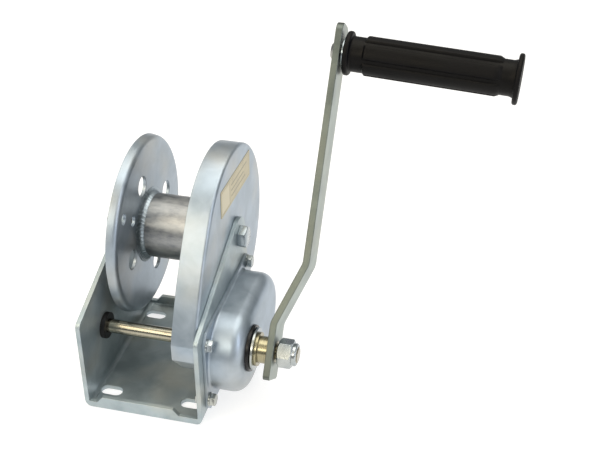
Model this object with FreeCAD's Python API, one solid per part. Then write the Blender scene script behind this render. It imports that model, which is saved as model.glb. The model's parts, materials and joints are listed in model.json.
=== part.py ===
"""Boat trailer winch with an automatic load brake.

A bent steel bracket carries a rope drum and a pinion shaft. The drum's right flange is its gear, which runs
inside a pressed gear cover. The pinion shaft goes on through the right wall into a screw brake under a second
pressed cover: the crank hub screws along the shaft and clamps a ratchet wheel between two friction discs.

Millimetres. X runs along the drum axis towards the crank, Y to the rear, Z up. The origin is the middle of
the base on its underside. Each sub-part is one file in parts/.
"""
import FreeCAD, Part
import math
import os

# ---------------------------------------------------------------- driving dimensions
# Bracket: one sheet bent into a U, with a lip along its front and rear edges
frame_width = 105.0          # outside of wall to outside of wall
frame_depth = 152.0
plate = 4.0
bend_inside = 4.0            # inside radius of every bend
wall_front_height = 87.0
knee_radius = 6.0
wall_nose_radius = 17.0      # round top of each wall, about the drum axis
lip_height = 13.0
lip_end_height = 7.0         # where it runs on into the walls' bends
lip_from_left = 10.8         # outside of the left wall to the foot of the lip's full height
lip_from_right = 20.6
lip_slope = 5.2              # length of each sloping end
lip_corner = 1.0
lip_bend_outside = 2.5       # the lips are pressed tight
lip_bend_inside = 1.5
slot_length = 19.0
slot_width = 10.5
slot_from_side = 16.2        # slot centre to the outside of the wall
slot_from_edge = 20.7        # slot centre to the front or rear edge

# Axes
drum_axis_from_front = 122.4
drum_axis_height = 113.2
mesh_angle = 37.8            # line from pinion to drum axis, degrees above level

# Gears
gear_module = 2.5
gear_teeth = 61
pinion_teeth = 16
pressure_angle = 25.0
gear_addendum = 2.2
gear_dedendum = 3.0
gear_backlash = 0.20
gear_thickness = 9.0
pinion_overhang = 2.0        # pinion past the gear on each side

# Drum
drum_tube_outer = 57.0
drum_tube_wall = 3.2
flange_radius = 80.0
flange_sheet = 3.0
flange_from_wall = 15.0      # left wall to the flange's flat
flange_rim_depth = 9.0       # face to the edge of the turned rim
flange_rim_flare = 1.6       # the rim widens by this much, in radius
flange_corner = 5.0          # outside radius between face and rim
flange_hole = 18.0
flange_hole_circle = 45.0    # radius
flange_hole_turn = 102.0     # first large hole, degrees from +Y towards +Z
rope_hole = 9.5
rope_hole_turn = 145.0
rope_hole_radii = (43.4, 66.0)
drum_bush_outer = 23.0
drum_bush_collar = 30.0
drum_bush_length = 13.0
weld_leg = 5.5
weld_throat = 0.46           # middle of the weld's face, as a share of its leg

# Drum axle
axle_diameter = 12.0
axle_head_flats = 18.0
axle_head_height = 7.5
axle_nut_height = 11.0
axle_washer_outer = 24.0
axle_washer_thickness = 2.5
axle_sleeve_outer = 17.0
axle_thread_past_nut = 3.0
axle_clearance = 0.2         # radial, in the holes of the walls and in the washer
sleeve_clearance = 0.1       # radial, axle in its sleeve

# Gear cover: a pan, open to the left, against the right wall
gear_cover_depth = 21.3
gear_cover_sheet = 2.0
gear_cover_gap = 1.1         # gear tips to the inside of the rim
gear_cover_edge = 3.0        # outside radius round the face
gear_cover_side_room = 7.0   # gear face to the inside of the pan
cover_corner_from_front = 6.5
cover_corner_height = 77.0
cover_chin_height = 62.0
cover_chin_radius = 4.0
cover_blend_angle = 140.0    # where the front side leaves the big arc

# Label on the gear cover
label_length = 84.0
label_height = 25.0
label_thickness = 0.3
label_from_front = 128.5
label_level = 162.5
label_tilt = -2.7
label_corner = 1.5

# Nuts and heads
head_face = 0.95             # round face at the end, as a share of the flats
corner_slope = math.tan(math.radians(30))

# Pinion shaft
shaft_diameter = 12.0
brake_seat_diameter = 16.0
thread_diameter = 14.0
thread_pitch = 2.0
shaft_past_left_wall = 7.0
bush_body = 18.0
bush_flange = 23.0
bush_flange_thickness = 4.2
right_bush_body = 22.0
right_bush_flange = 28.0
right_bush_flange_thickness = 3.0
right_bush_proud = 1.0
thrust_washer_outer = 26.0
thrust_washer_thickness = 1.6
running_fit = 0.05           # radial clearance of a shaft in its bush
clip_thickness = 1.2
clip_outer = 19.0
clip_groove = 0.8            # radial depth
end_float = 0.2

# Brake stack, from the right wall outwards
disc_from_wall = 2.5
disc_outer = 40.0
disc_thickness = 4.0
lining_outer = 39.0
lining_inner = 24.0
lining_thickness = 2.2
ratchet_tip_radius = 25.0
ratchet_tooth_depth = 4.0
ratchet_teeth = 12
ratchet_thickness = 5.0
ratchet_bush_outer = 20.0
brake_air = 0.1              # between each pair of faces, brake off
hub_flange_outer = 34.0
hub_flange_thickness = 3.4
hub_outer = 23.0
hub_collar_outer = 29.0      # step behind the ring
hub_collar_thickness = 2.4
hub_spigot = 18.0

# Pawl
pawl_contact_angle = -50.0   # tooth face that holds the load, degrees from +Y towards +Z
pawl_reach = 38.0            # contact to pivot
pawl_eye_radius = 8.0
pawl_pin_diameter = 8.0
pawl_pin_head = 12.0
pawl_sleeve_outer = 12.0
pawl_nose_width = 9.0
pawl_gap = 0.8               # pawl to its tooth
pawl_tip_room = 0.4          # more, over the tip of the next tooth
pawl_pin_head_height = 2.0
spring_wire = 1.2
spring_coils = 4.0
spring_mean_radius = 8.0
spring_leg = 15.0
spring_end_gap = 0.8         # spring to the wall, and to the pawl

# Brake cover: a pressed oval dome with a flat flange
brake_cover_sheet = 2.4
dome_from_front = 15.0
dome_from_rear = 14.0
dome_width = 75.0
dome_bottom = 10.0
dome_room = 4.5              # hub flange to the inside of the dome
dome_edge = 12.0
dome_foot_radius = 2.2
cover_flange_front = 10.5    # from the bracket's front edge
cover_flange_rear = 9.5      # from its rear edge
cover_flange_bottom = 5.5
cover_flange_over_dome = 1.5
cover_flange_chamfer = 7.0
cover_flange_corner = 3.0
front_bolts = ((15.5, 75.0), (14.5, 18.7))    # from the front edge, and up
rear_bolts = ((19.5, 80.5), (17.0, 16.5))     # from the rear edge, and up
cover_bolt_diameter = 6.0
cover_bolt_flats = 10.0
cover_bolt_head = 4.4
cover_bolt_clearance = 0.3   # radial
cover_bolt_past_nut = 0.5
cover_bolt_turn = 12.0       # how the heads and nuts stand
cover_washer_outer = 12.0
cover_washer_clearance = 0.2 # radial
cover_washer_thickness = 1.4
cover_nut_height = 5.0
seal_outer = 40.0
seal_thickness = 3.0
seal_neck = 30.0
seal_bore_gap = 0.5
seal_edge = 1.0
hub_ring_outer = 36.0
hub_ring_thickness = 2.0
hub_ring_gap = 0.6

# Crank
crank_lean = 36.0            # from upright, towards the rear
crank_radius = 257.0         # shaft axis to handle pin
arm_width = 30.0
arm_thickness = 6.0
arm_end = 23.5               # past the shaft axis and past the handle pin
arm_low_corner = 3.5
arm_high_corner = 9.0
arm_offset = 20.0            # outward step of the arm
arm_bend_start = 24.0        # along the arm, from the shaft axis
arm_bend_end = 76.0
arm_bend_inside = 12.0
arm_from_seal = 13.5         # outside of the seal to the arm
nut_gap = 2.0
lock_nut_flats = 22.0
lock_nut_height = 16.0
lock_nut_collar = 3.6        # round collar over the nylon insert
lock_nut_collar_outer = 19.5
lock_nut_collar_round = 1.8
lock_nut_turn = 44.0
shaft_past_nut = 0.8

# Handle
handle_droop = 3.0           # the pin leans this much towards the shaft
pin_diameter = 12.0
pin_rivet = 18.0
pin_rivet_taper = 3.0
pin_rivet_gap = 0.5          # rivet to the arm, because the pin leans and the arm doesn't
pin_head_gap = 0.5           # grip tube to the head
arm_to_washer = 0.9
washer_to_grip = 0.3
pin_rivet_height = 3.0
pin_head = 19.0
pin_head_height = 3.0
handle_washer_outer = 26.0
handle_washer_thickness = 1.6
grip_length = 147.0
grip_neck = 30.0
grip_panel = 33.6
grip_flange = 37.5
grip_flange_thickness = 5.0
grip_end_flange = 42.5
grip_end_thickness = 4.5
grip_neck_length = 11.0
grip_grooves = 6
grip_groove_width = 4.0
grip_tube_outer = 20.0
grip_tube_end = 10.0         # tube stops this far inside the outer end
grip_tube_start = 1.0        # and this far inside the inner end
grip_groove_under = 0.3      # groove floor below the necks
grip_rounding = 0.42         # of a flange's thickness
grip_end_wall = 3.0          # rubber over the pin's head

# ---------------------------------------------------------------- places that follow from them
half_width = frame_width / 2
front = -frame_depth / 2
rear = frame_depth / 2
wall_in = half_width - plate
drum_y = front + drum_axis_from_front
drum_z = drum_axis_height
gear_pitch_radius = gear_module * gear_teeth / 2
pinion_pitch_radius = gear_module * pinion_teeth / 2
centre_distance = gear_pitch_radius + pinion_pitch_radius
shaft_y = drum_y - centre_distance * math.cos(math.radians(mesh_angle))
shaft_z = drum_z - centre_distance * math.sin(math.radians(mesh_angle))
DRUM = (drum_y, drum_z)
SHAFT = (shaft_y, shaft_z)

gear_tip_radius = gear_pitch_radius + gear_addendum
pinion_tip_radius = pinion_pitch_radius + gear_addendum
pan_inside = wall_in - gear_cover_sheet
gear_right = pan_inside - gear_cover_side_room
gear_left = gear_right - gear_thickness
pinion_left = gear_left - pinion_overhang
pinion_right = gear_right + pinion_overhang
flange_left = -wall_in + flange_from_wall
flange_right = flange_left + flange_sheet

disc_left = half_width + disc_from_wall
disc_right = disc_left + disc_thickness
inner_lining_right = disc_right + lining_thickness
ratchet_left = inner_lining_right + brake_air
ratchet_right = ratchet_left + ratchet_thickness
outer_lining_left = ratchet_right + brake_air
outer_disc_left = outer_lining_left + lining_thickness
outer_disc_right = outer_disc_left + disc_thickness
hub_left = outer_disc_right + brake_air
dome_outside = hub_left + hub_flange_thickness + dome_room + brake_cover_sheet
seal_right = dome_outside + seal_thickness
hub_ring_left = seal_right + hub_ring_gap
hub_ring_right = hub_ring_left + hub_ring_thickness
arm_left = seal_right + arm_from_seal
arm_right = arm_left + arm_thickness
nut_left = arm_right + nut_gap
nut_right = nut_left + lock_nut_height
shaft_right = nut_right + shaft_past_nut
shaft_left = -half_width - shaft_past_left_wall
cover_bolts = [(front + y, z) for y, z in front_bolts] + [(rear - y, z) for y, z in rear_bolts]
cover_bolt_hole = cover_bolt_diameter + 2 * cover_bolt_clearance

handle_root = arm_right + arm_offset
grip_left = handle_root + arm_to_washer + handle_washer_thickness + washer_to_grip


# ---------------------------------------------------------------- shapes used again and again
def vec(x, y, z):
    return FreeCAD.Vector(x, y, z)


def save(name, shape):
    shape.exportStep("parts/" + name + ".step")


def polar(centre, radius, degrees):
    """Point of a circle in the Y-Z plane, from +Y towards +Z."""
    turn = math.radians(degrees)
    return (centre[0] + radius * math.cos(turn), centre[1] + radius * math.sin(turn))


def rod(x0, x1, diameter, centre):
    return Part.makeCylinder(diameter / 2, x1 - x0, vec(x0, *centre), vec(1, 0, 0))


def tube(x0, x1, outer, inner, centre):
    return rod(x0, x1, outer, centre).cut(rod(x0 - 1, x1 + 1, inner, centre))


def box(x0, x1, y0, y1, z0, z1):
    return Part.makeBox(x1 - x0, y1 - y0, z1 - z0, vec(x0, y0, z0))


def chamfer_rod(x0, x1, diameter, chamfer, centre):
    """A rod whose +X end is chamfered."""
    narrow = diameter / 2 - chamfer
    end = Part.makeCone(diameter / 2, narrow, chamfer, vec(x1 - chamfer, *centre), vec(1, 0, 0))
    return rod(x0, x1 - chamfer, diameter, centre).fuse(end).removeSplitter()


def hexagonal_bar(x0, x1, flats, centre, turn):
    corner = flats / math.sqrt(3)
    points = [vec(x0, *polar(centre, corner, turn + 60 * k)) for k in range(7)]
    return Part.Face(Part.makePolygon(points)).extrude(vec(x1 - x0, 0, 0))


def hexagon(x0, x1, flats, centre, turn=0.0):
    """Hexagonal bar along X whose corners are taken down at both ends."""
    bar = hexagonal_bar(x0, x1, flats, centre, turn)
    middle = (x0 + x1) / 2
    narrow = flats / 2 * head_face
    wide = narrow + (middle - x0) / corner_slope
    turned = Part.makeCone(wide, narrow, x1 - middle, vec(middle, *centre), vec(1, 0, 0))
    turned = turned.fuse(Part.makeCone(narrow, wide, middle - x0, vec(x0, *centre), vec(1, 0, 0)))
    return bar.common(turned)


def hexagon_head(x0, x1, flats, centre, turn=0.0):
    """Hexagonal bar along X with its corners taken down at the +X end only."""
    bar = hexagonal_bar(x0, x1, flats, centre, turn)
    narrow = flats / 2 * head_face
    wide = narrow + (x1 - x0) / corner_slope
    return bar.common(Part.makeCone(wide, narrow, x1 - x0, vec(x0, *centre), vec(1, 0, 0)))


def touch(point, centre, radius, side):
    """Where a line from a point touches a circle; side is +1 for left of the line of sight, -1 for right."""
    away = math.dist(point, centre)
    heading = math.atan2(centre[1] - point[1], centre[0] - point[0])
    turn = heading + side * math.asin(radius / away)
    length = math.sqrt(away ** 2 - radius ** 2)
    return (point[0] + length * math.cos(turn), point[1] + length * math.sin(turn))


def line(x, start, end):
    return Part.LineSegment(vec(x, *start), vec(x, *end)).toShape()


def arc(x, start, centre, end, clockwise=False):
    """Arc in the plane at x from start to end about centre."""
    radius = math.dist(start, centre)
    first = math.degrees(math.atan2(start[1] - centre[1], start[0] - centre[0]))
    last = math.degrees(math.atan2(end[1] - centre[1], end[0] - centre[0]))
    if clockwise and last > first:
        last -= 360
    if not clockwise and last < first:
        last += 360
    middle = polar(centre, radius, (first + last) / 2)
    return Part.Arc(vec(x, *start), vec(x, *middle), vec(x, *end)).toShape()


def rounded(points, radii, place):
    """Closed face whose corners are rounded; place turns a 2-D point into a vector."""
    edges = []
    ends = []
    count = len(points)
    for k in range(count):
        before = points[k - 1]
        here = points[k]
        after = points[(k + 1) % count]
        radius = radii[k]
        back = (before[0] - here[0], before[1] - here[1])
        ahead = (after[0] - here[0], after[1] - here[1])
        back_length = math.hypot(*back)
        ahead_length = math.hypot(*ahead)
        back = (back[0] / back_length, back[1] / back_length)
        ahead = (ahead[0] / ahead_length, ahead[1] / ahead_length)
        half = math.acos(max(-1.0, min(1.0, back[0] * ahead[0] + back[1] * ahead[1]))) / 2
        reach = radius / math.tan(half)
        enter = (here[0] + back[0] * reach, here[1] + back[1] * reach)
        leave = (here[0] + ahead[0] * reach, here[1] + ahead[1] * reach)
        bisector = (back[0] + ahead[0], back[1] + ahead[1])
        size = math.hypot(*bisector)
        inset = radius / math.sin(half) - radius
        crown = (here[0] + bisector[0] / size * inset, here[1] + bisector[1] / size * inset)
        ends.append((enter, leave))
        if radius > 0:
            edges.append(Part.Arc(place(*enter), place(*crown), place(*leave)).toShape())
    for k in range(count):
        leave = ends[k - 1][1]
        enter = ends[k][0]
        if math.dist(leave, enter) > 1e-6:
            edges.append(Part.LineSegment(place(*leave), place(*enter)).toShape())
    return Part.Face(Part.Wire(Part.__sortEdges__(edges)))


def turned(points, centre):
    """Solid turned about an axis along X; each point is (x, radius)."""
    ring = [vec(x, centre[0], centre[1] + r) for x, r in points]
    ring.append(ring[0])
    return Part.Face(Part.makePolygon(ring)).revolve(vec(0, *centre), vec(1, 0, 0), 360)


def gear(teeth, x0, x1, centre, tooth_at):
    """Spur gear blank with involute flanks and one tooth centred on the angle tooth_at."""
    pitch = gear_module * teeth / 2
    base = pitch * math.cos(math.radians(pressure_angle))
    tip = pitch + gear_addendum
    root = pitch - gear_dedendum
    alpha = math.radians(pressure_angle)
    half_tooth = math.pi / (2 * teeth) - gear_backlash / (4 * pitch) + math.tan(alpha) - alpha

    def half_angle(radius):
        slope = math.acos(min(1.0, base / radius))
        return math.degrees(half_tooth - (math.tan(slope) - slope))

    start = max(base, root)
    radii = [start + (tip - start) * k / 4 for k in range(5)]
    edges = []
    step = 360 / teeth
    for k in range(teeth):
        middle = tooth_at + k * step
        rise = [vec(x0, *polar(centre, r, middle - half_angle(r))) for r in radii]
        fall = [vec(x0, *polar(centre, r, middle + half_angle(r))) for r in reversed(radii)]
        foot_in = vec(x0, *polar(centre, root, middle - half_angle(start)))
        foot_out = vec(x0, *polar(centre, root, middle + half_angle(start)))
        next_foot = vec(x0, *polar(centre, root, middle + step - half_angle(start)))
        if start > root:
            edges.append(Part.LineSegment(foot_in, rise[0]).toShape())
            edges.append(Part.LineSegment(fall[-1], foot_out).toShape())
        for flank in (rise, fall):
            curve = Part.BSplineCurve()
            curve.interpolate(flank)
            edges.append(curve.toShape())
        crown = vec(x0, *polar(centre, tip, middle))
        valley = vec(x0, *polar(centre, root, middle + step / 2))
        edges.append(Part.Arc(rise[-1], crown, fall[0]).toShape())
        edges.append(Part.Arc(foot_out, valley, next_foot).toShape())
    face = Part.Face(Part.Wire(Part.__sortEdges__(edges)))
    return face.extrude(vec(x1 - x0, 0, 0))


# ---------------------------------------------------------------- the pawl's place
PAWL_CONTACT = polar(SHAFT, ratchet_tip_radius - ratchet_tooth_depth / 2, pawl_contact_angle)
PAWL = polar(PAWL_CONTACT, pawl_reach, pawl_contact_angle + 90)


# ---------------------------------------------------------------- bracket
def wall_outline(x):
    """Side view of the bracket: upright front edge, rising top, round nose at the drum axis, sloping rear."""
    foot_front = (front, 0.0)
    foot_rear = (rear, 0.0)
    knee = (front, wall_front_height)
    nose_in = touch(knee, DRUM, wall_nose_radius, 1)
    nose_out = touch(foot_rear, DRUM, wall_nose_radius, -1)
    rise = math.atan2(nose_in[1] - knee[1], nose_in[0] - knee[0])
    half = (math.pi / 2 + rise) / 2
    reach = knee_radius / math.tan(half)
    knee_low = (front, wall_front_height - reach)
    knee_high = (front + reach * math.cos(rise), wall_front_height + reach * math.sin(rise))
    knee_centre = (front + knee_radius, knee_low[1])
    edges = [
        line(x, foot_front, knee_low),
        arc(x, knee_low, knee_centre, knee_high, clockwise=True),
        line(x, knee_high, nose_in),
        arc(x, nose_in, DRUM, nose_out, clockwise=True),
        line(x, nose_out, foot_rear),
        line(x, foot_rear, foot_front),
    ]
    return Part.Face(Part.Wire(edges))


def channel(half_span, height, place):
    """Section of a bent U: outside and inside faces of the sheet, as one face."""
    outer = bend_inside + plate
    outline = [(-half_span, height), (-half_span, 0), (half_span, 0), (half_span, height),
               (half_span - plate, height), (half_span - plate, plate), (plate - half_span, plate),
               (plate - half_span, height)]
    radii = [0, outer, outer, 0, 0, bend_inside, bend_inside, 0]
    return rounded(outline, radii, place)


def build_lips():
    """Both lips as one tray across the base: full height in the middle, low where they meet the bends."""
    half = rear
    inner = half - plate
    section = [(-half, lip_height), (-half, 0), (half, 0), (half, lip_height), (inner, lip_height),
               (inner, plate), (-inner, plate), (-inner, lip_height)]
    radii = [0, lip_bend_outside, lip_bend_outside, 0, 0, lip_bend_inside, lip_bend_inside, 0]
    tray = rounded(section, radii, lambda a, b: vec(-half_width, a, b)).extrude(vec(frame_width, 0, 0))
    foot_left = lip_from_left - half_width
    foot_right = half_width - lip_from_right
    outline = [(-half_width, 0), (half_width, 0), (half_width, lip_end_height), (foot_right, lip_end_height),
               (foot_right - lip_slope, lip_height), (foot_left + lip_slope, lip_height),
               (foot_left, lip_end_height), (-half_width, lip_end_height)]
    corners = [0, 0, 0, lip_corner, lip_corner, lip_corner, lip_corner, 0]
    front_view = rounded(outline, corners, lambda a, b: vec(a, front, b)).extrude(vec(0, frame_depth, 0))
    bend = bend_inside + plate
    box = [(-half_width, 0), (half_width, 0), (half_width, drum_z), (-half_width, drum_z)]
    trough = rounded(box, [bend, bend, 0, 0], lambda a, b: vec(a, front, b)).extrude(vec(0, frame_depth, 0))
    return tray.common(front_view).common(trough)


def build_frame_bracket():
    tallest = drum_z + wall_nose_radius + 10
    side_view = wall_outline(-half_width).extrude(vec(frame_width, 0, 0))
    low_edges = [edge for edge in side_view.Edges
                 if edge.BoundBox.ZMax < 0.01 and edge.BoundBox.XLength > frame_width - 1]
    side_view = side_view.makeFillet(lip_bend_outside, low_edges)
    walls = channel(half_width, tallest, lambda a, b: vec(a, front, b)).extrude(vec(0, frame_depth, 0))
    body = walls.common(side_view).fuse(build_lips()).removeSplitter()
    for hand in (-1, 1):
        for side in (-1, 1):
            x = hand * (half_width - slot_from_side)
            y = side * (rear - slot_from_edge)
            run = (slot_length - slot_width) / 2
            slot = box(x - run, x + run, y - slot_width / 2, y + slot_width / 2, -1, plate + 1)
            for end in (-run, run):
                slot = slot.fuse(Part.makeCylinder(slot_width / 2, plate + 2, vec(x + end, y, -1)))
            body = body.cut(slot)
    body = body.cut(rod(-half_width - 1, half_width + 1, axle_diameter + 2 * axle_clearance, DRUM))
    body = body.cut(rod(-half_width - 1, 0, bush_body, SHAFT))
    body = body.cut(rod(0, half_width + 1, right_bush_body, SHAFT))
    body = body.cut(rod(wall_in - 1, half_width + 1, pawl_pin_diameter, PAWL))
    for place in cover_bolts:
        body = body.cut(rod(wall_in - 1, half_width + 1, cover_bolt_hole, place))
    return body


# ---------------------------------------------------------------- gear cover and label
def pan_outline(x, inset):
    """Side view of the gear cover, or of its inside when inset by the sheet."""
    big = gear_tip_radius + gear_cover_gap + gear_cover_sheet - inset
    small = pinion_tip_radius + gear_cover_gap + gear_cover_sheet - inset
    corner = (front + cover_corner_from_front + inset, cover_corner_height)
    chin = (front + cover_corner_from_front + inset, cover_chin_height)
    blend = polar(DRUM, big, cover_blend_angle)
    # front side: an arc that leaves the big arc without a kink and ends at the front corner
    tangent = math.radians(cover_blend_angle + 90)
    chord = math.dist(blend, corner)
    chord_turn = math.atan2(corner[1] - blend[1], corner[0] - blend[0]) - tangent
    chord_turn = (chord_turn + math.pi) % (2 * math.pi) - math.pi
    front_radius = chord / (2 * math.sin(chord_turn))
    front_centre = polar(DRUM, big - front_radius, cover_blend_angle)
    chin_touch = touch(chin, SHAFT, small, -1)
    # the straight run under both circles
    lean = math.degrees(math.asin((big - small) / centre_distance))
    down = mesh_angle - 90 - lean
    under_small = polar(SHAFT, small, down)
    under_big = polar(DRUM, big, down)
    edges = [
        arc(x, under_big, DRUM, blend),
        arc(x, blend, front_centre, corner),
        line(x, corner, chin),
        line(x, chin, chin_touch),
        arc(x, chin_touch, SHAFT, under_small),
        line(x, under_small, under_big),
    ]
    return Part.Face(Part.Wire(edges))


def front_corners(shape, depth):
    """Edges along X, as long as the shape is deep, in front of the pinion."""
    return [edge for edge in shape.Edges
            if edge.BoundBox.XLength > depth - 0.01 and edge.BoundBox.YMax < shaft_y - pinion_tip_radius]


def build_gear_cover():
    left = wall_in - gear_cover_depth
    shell = pan_outline(left, 0).extrude(vec(gear_cover_depth, 0, 0))
    shell = shell.makeFillet(cover_chin_radius, front_corners(shell, gear_cover_depth))
    rim = [edge for edge in shell.Edges if edge.BoundBox.XMin > wall_in - 0.01]
    shell = shell.makeFillet(gear_cover_edge, rim)
    hollow = gear_cover_depth + 1 - gear_cover_sheet
    inside = pan_outline(left - 1, gear_cover_sheet).extrude(vec(hollow, 0, 0))
    corners = front_corners(inside, gear_cover_depth + 1 - gear_cover_sheet)
    inside = inside.makeFillet(cover_chin_radius - gear_cover_sheet, corners)
    rim = [edge for edge in inside.Edges if edge.BoundBox.XMin > pan_inside - 0.01]
    inside = inside.makeFillet(gear_cover_edge - gear_cover_sheet, rim)
    pan = shell.cut(inside)
    pan = pan.cut(rod(pan_inside - 1, wall_in + 1, right_bush_body, SHAFT))
    pan = pan.cut(rod(pan_inside - 1, wall_in + 1, axle_diameter + 2 * axle_clearance, DRUM))
    for place in cover_bolts:
        pan = pan.cut(rod(pan_inside - 1, wall_in + 1, cover_bolt_hole, place))
    return pan


def build_data_label():
    y = front + label_from_front
    plate_face = box(wall_in, wall_in + label_thickness, y - label_length / 2, y + label_length / 2,
                     label_level - label_height / 2, label_level + label_height / 2)
    corners = [edge for edge in plate_face.Edges if edge.BoundBox.XLength > label_thickness / 2]
    plate_face = plate_face.makeFillet(label_corner, corners)
    plate_face.rotate(vec(0, y, label_level), vec(1, 0, 0), label_tilt)
    return plate_face


# ---------------------------------------------------------------- brake cover
def oval(x, inset):
    """The dome's oval in side view."""
    radius = dome_width / 2 - inset
    y = (front + dome_from_front + rear - dome_from_rear) / 2
    run = (frame_depth - dome_from_front - dome_from_rear - dome_width) / 2
    z = dome_bottom + dome_width / 2
    edges = [
        line(x, (y - run, z - radius), (y + run, z - radius)),
        arc(x, (y + run, z - radius), (y + run, z), (y + run, z + radius)),
        line(x, (y + run, z + radius), (y - run, z + radius)),
        arc(x, (y - run, z + radius), (y - run, z), (y - run, z - radius)),
    ]
    return Part.Face(Part.Wire(edges))


def domed(x0, x1, inset, edge_radius):
    body = oval(x0, inset).extrude(vec(x1 - x0, 0, 0))
    rim = [edge for edge in body.Edges if edge.BoundBox.XMin > x1 - 0.01]
    return body.makeFillet(edge_radius, rim)


def build_brake_cover():
    flange_face = half_width + brake_cover_sheet
    y0 = front + cover_flange_front
    y1 = rear - cover_flange_rear
    z0 = cover_flange_bottom
    z1 = dome_bottom + dome_width + cover_flange_over_dome
    cut = cover_flange_chamfer
    outline = [(y0, z0 + cut), (y0 + cut, z0), (y1 - cut, z0), (y1, z0 + cut),
               (y1, z1 - cut), (y1 - cut, z1), (y0 + cut, z1), (y0, z1 - cut)]
    flange = rounded(outline, [cover_flange_corner] * len(outline), lambda a, b: vec(half_width, a, b))
    flange = flange.extrude(vec(brake_cover_sheet, 0, 0))
    cover = flange.fuse(domed(half_width, dome_outside, 0, dome_edge)).removeSplitter()
    foot = [edge for edge in cover.Edges
            if abs(edge.BoundBox.XMin - flange_face) < 0.01 and edge.BoundBox.XLength < 0.01
            and edge.BoundBox.ZMin > dome_bottom - 0.1 and edge.BoundBox.ZMax < dome_bottom + dome_width + 0.1
            and edge.BoundBox.YMin > front + dome_from_front - 0.1
            and edge.BoundBox.YMax < rear - dome_from_rear + 0.1]
    cover = cover.makeFillet(dome_foot_radius, foot)
    inside = domed(half_width - 1, dome_outside - brake_cover_sheet, brake_cover_sheet,
                   dome_edge - brake_cover_sheet)
    cover = cover.cut(inside)
    cover = cover.cut(rod(half_width, dome_outside + 1, seal_neck, SHAFT))
    for place in cover_bolts:
        cover = cover.cut(rod(half_width - 1, flange_face + 1, cover_bolt_hole, place))
    return cover


def build_cover_bolts():
    """Four hexagon screws; the two upper ones also hold the gear cover."""
    seat = half_width + brake_cover_sheet + cover_washer_thickness
    screws = []
    for place in cover_bolts:
        tip = nut_seat(place) - cover_nut_height - cover_bolt_past_nut
        screw = hexagon_head(seat, seat + cover_bolt_head, cover_bolt_flats, place, cover_bolt_turn)
        screws.append(screw.fuse(rod(tip, seat + 1, cover_bolt_diameter, place)).removeSplitter())
    return Part.makeCompound(screws)


def build_cover_washers():
    seat = half_width + brake_cover_sheet
    hole = cover_bolt_diameter + 2 * cover_washer_clearance
    face = seat + cover_washer_thickness
    return Part.makeCompound([tube(seat, face, cover_washer_outer, hole, place) for place in cover_bolts])


def nut_seat(place):
    """Face that a cover nut bears on: inside the gear cover where it covers the hole, else the wall."""
    covered = pan_outline(0, 0).isInside(vec(0, *place), 0.01, True)
    return pan_inside if covered else wall_in


def build_cover_nuts():
    nuts = []
    for place in cover_bolts:
        seat = nut_seat(place)
        nut = hexagon(seat - cover_nut_height, seat, cover_bolt_flats, place, cover_bolt_turn)
        nuts.append(nut.cut(rod(seat - cover_nut_height - 1, seat + 1, cover_bolt_diameter, place)))
    return Part.makeCompound(nuts)


def build_cover_seal():
    bore = hub_outer + 2 * seal_bore_gap
    neck_left = dome_outside - brake_cover_sheet
    body = tube(dome_outside, seal_right, seal_outer, bore, SHAFT)
    rim = [edge for edge in body.Edges
           if edge.BoundBox.XMin > seal_right - 0.01 and edge.BoundBox.YLength > seal_outer - 1]
    body = body.makeFillet(seal_edge, rim)
    return body.fuse(tube(neck_left, dome_outside, seal_neck, bore, SHAFT)).removeSplitter()


# ---------------------------------------------------------------- drum
def build_drum_flange():
    """Disc with its rim turned over to the left."""
    bore = drum_bush_outer / 2
    rim_x = flange_right - flange_rim_depth
    flare = flange_rim_flare / flange_rim_depth
    across = flange_sheet * math.sqrt(1 + flare ** 2)
    corner = flange_radius - flange_rim_flare
    inner_corner = flange_radius - across - flare * (flange_left - rim_x)
    section = [(flange_right, bore), (flange_right, corner), (rim_x, flange_radius),
               (rim_x, flange_radius - across), (flange_left, inner_corner), (flange_left, bore)]
    radii = [0, flange_corner, 0, 0, flange_corner - flange_sheet, 0]
    profile = rounded(section, radii, lambda x, radius: vec(x, drum_y, drum_z + radius))
    disc = profile.revolve(vec(0, *DRUM), vec(1, 0, 0), 360)
    for k in range(4):
        centre = polar(DRUM, flange_hole_circle, flange_hole_turn + 90 * k)
        disc = disc.cut(rod(flange_left - 1, flange_right + 1, flange_hole, centre))
    for radius in rope_hole_radii:
        centre = polar(DRUM, radius, rope_hole_turn)
        disc = disc.cut(rod(flange_left - 1, flange_right + 1, rope_hole, centre))
    return disc


def build_weld(x, direction):
    """Slightly hollow fillet weld round the tube, against a face at x."""
    tube_radius = drum_tube_outer / 2
    throat = weld_leg * weld_throat
    section = [(0, 0), (0, weld_leg), (throat, throat), (weld_leg, 0)]
    return turned([(x + direction * along, tube_radius + up) for along, up in section], DRUM)


def build_drum_gear():
    blank = gear(gear_teeth, gear_left, gear_right, DRUM, mesh_angle + 180)
    return blank.cut(rod(gear_left - 1, gear_right + 1, drum_bush_outer, DRUM))


def build_drum_bush(face, direction, wall_face):
    """Flanged bush: its body is inside the drum and its collar runs against a wall."""
    inner = face - direction * drum_bush_length
    collar_end = wall_face - direction * end_float
    bore = axle_sleeve_outer + 2 * running_fit
    body = tube(min(inner, face), max(inner, face), drum_bush_outer, bore, DRUM)
    collar = tube(min(face, collar_end), max(face, collar_end), drum_bush_collar,
                  axle_sleeve_outer + 2 * running_fit, DRUM)
    return body.fuse(collar).removeSplitter()


# ---------------------------------------------------------------- drum axle
def build_drum_axle():
    nut_left_end = -half_width - axle_washer_thickness - axle_nut_height
    head = hexagon_head(half_width, half_width + axle_head_height, axle_head_flats, DRUM, 20)
    shank = rod(nut_left_end - axle_thread_past_nut, half_width + 1, axle_diameter, DRUM)
    return head.fuse(shank).removeSplitter()


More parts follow.
